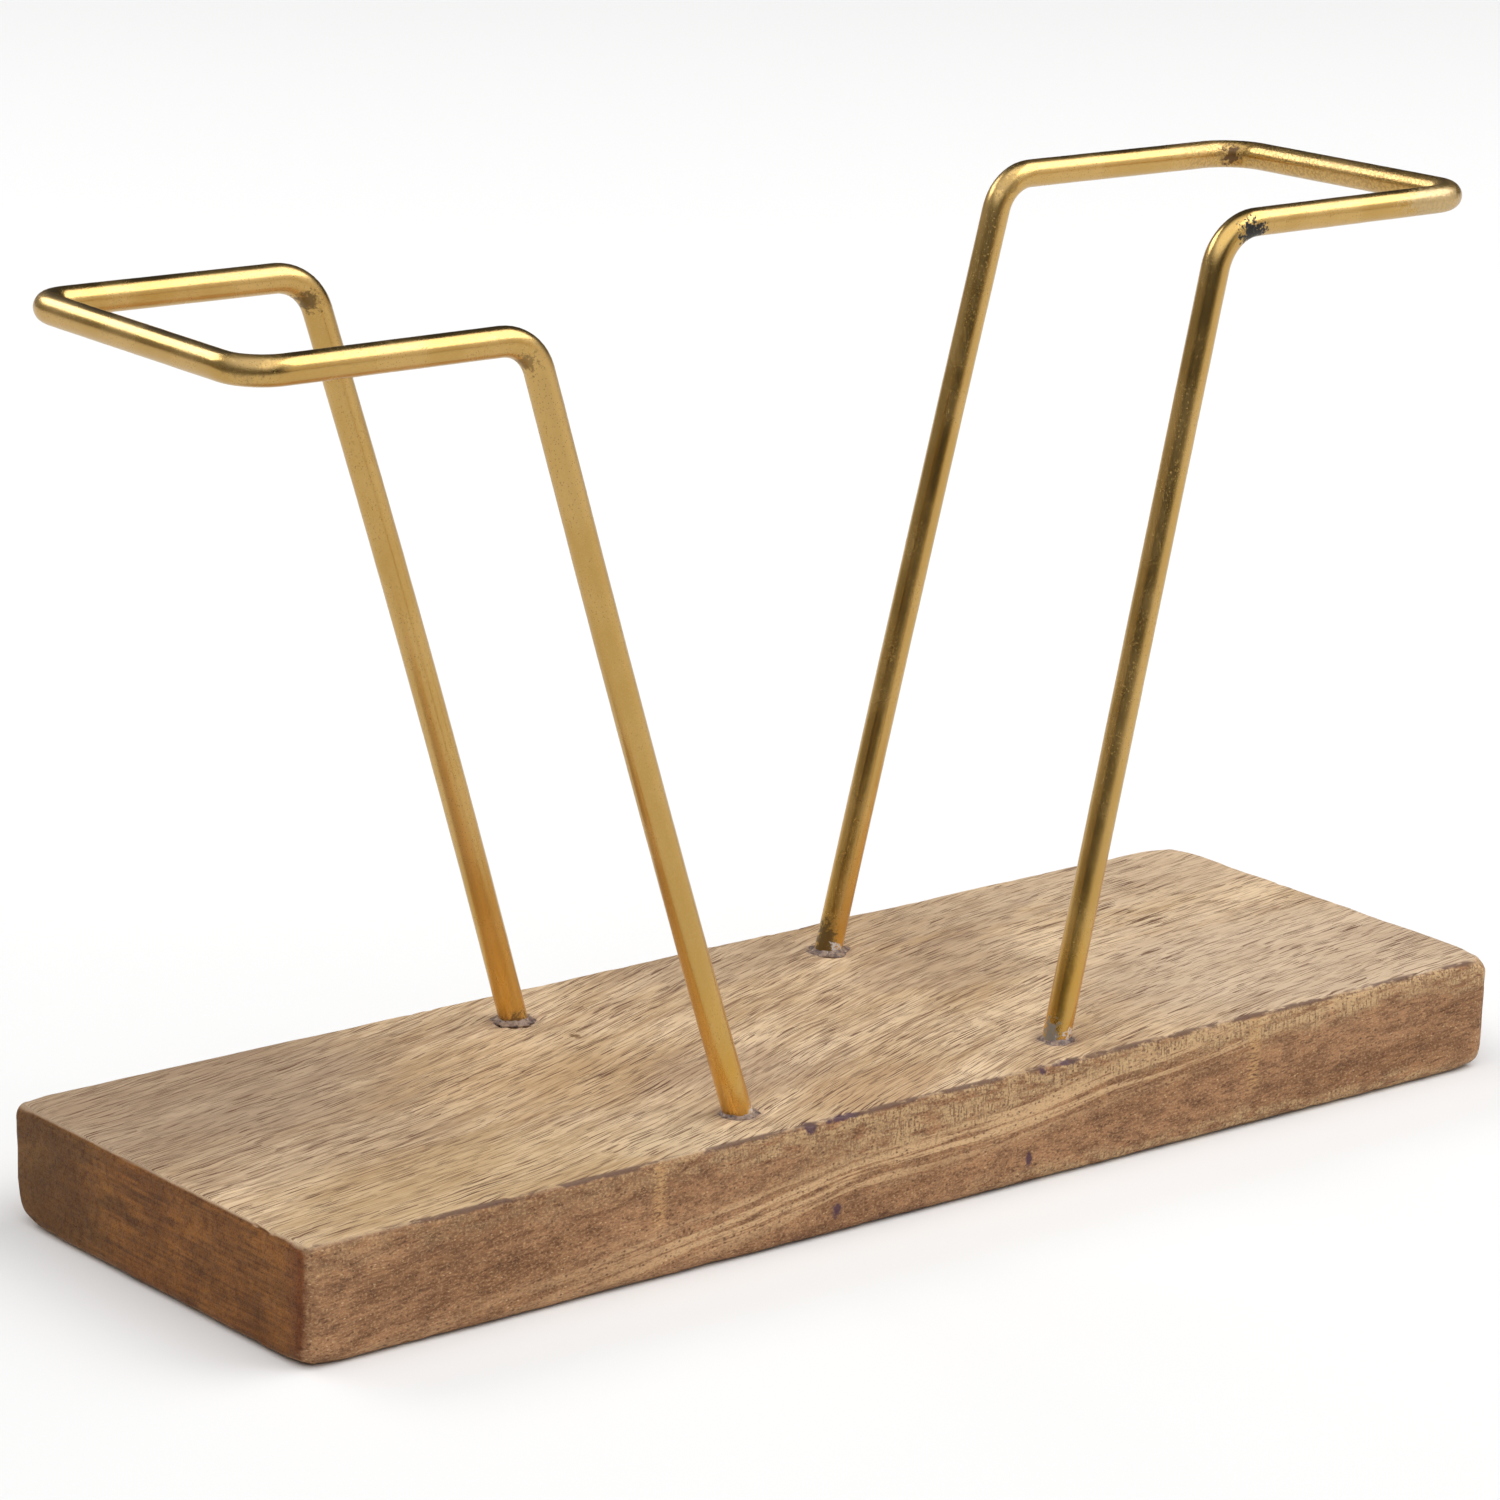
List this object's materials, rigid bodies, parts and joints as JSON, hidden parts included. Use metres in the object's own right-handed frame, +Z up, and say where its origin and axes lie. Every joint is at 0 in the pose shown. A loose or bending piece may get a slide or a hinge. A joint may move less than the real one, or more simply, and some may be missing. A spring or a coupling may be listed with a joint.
{
  "type": "tabletop wire display stand",
  "caption": "Rectangular wooden base with bent brass-finished wire loops that lean outwards and end in flat open ears, for holding or displaying an item.",
  "frame": {"origin": "centre of the board's underside, on the surface that the stand rests on", "axes": "+X along the board towards the loop with the taller ear, +Y towards the back long side, +Z up"},
  "size_m": [0.2432, 0.08, 0.1498],
  "materials": {
    "hardwood": "sanded, open-grained, thin clear coat",
    "brass_rod": "satin brass-coloured plating over round rod",
    "set_glue": "clear set glue with sawdust in it"
  },
  "bodies": {
    "root": {"base_board": "hardwood", "wire_loop_left": "brass_rod", "wire_loop_right": "brass_rod", "glue_bead_left_front": "set_glue", "glue_bead_left_back": "set_glue", "glue_bead_right_front": "set_glue", "glue_bead_right_back": "set_glue"}
  },
  "joints": []
}
